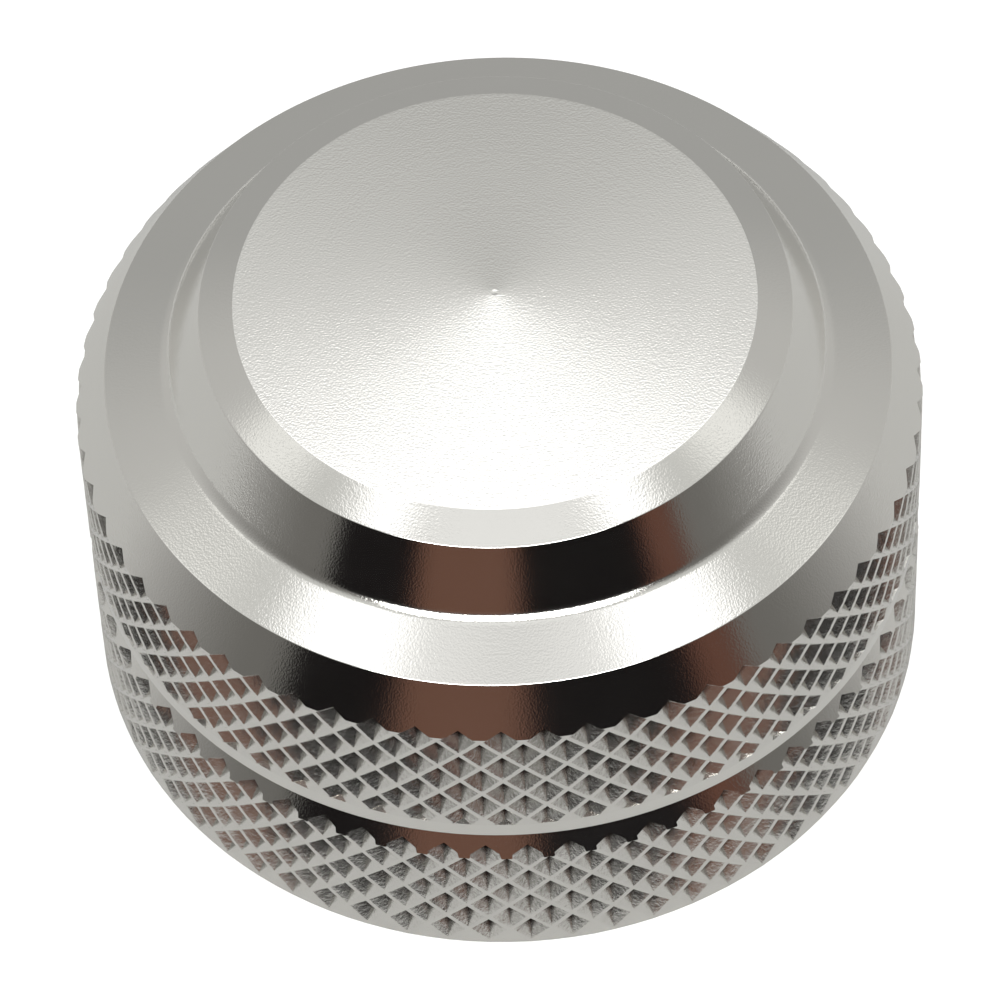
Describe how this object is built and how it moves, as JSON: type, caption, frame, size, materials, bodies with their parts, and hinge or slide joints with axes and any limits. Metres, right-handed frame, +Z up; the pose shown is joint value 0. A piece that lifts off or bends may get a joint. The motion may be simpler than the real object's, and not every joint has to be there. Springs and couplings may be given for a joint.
{
  "type": "reel brake knob",
  "caption": "Round stepped aluminium brake knob for a fishing reel, with two bands of diamond knurl, a threaded bore open below, a friction ring and a thrust pad inside.",
  "frame": {"origin": "middle of the bottom rim", "axes": "+Z up along the turning axis, from the open mouth to the coned top; -Y towards the camera of the picture"},
  "size_m": [0.02, 0.02, 0.0125],
  "materials": {
    "anodised_aluminium": "satin turned, clear anodised",
    "black_rubber": "matt, lightly greased",
    "bronze": "plain turned"
  },
  "bodies": {
    "root": {"knob_body": "anodised_aluminium", "friction_ring": "black_rubber", "thrust_pad": "bronze"}
  },
  "joints": []
}
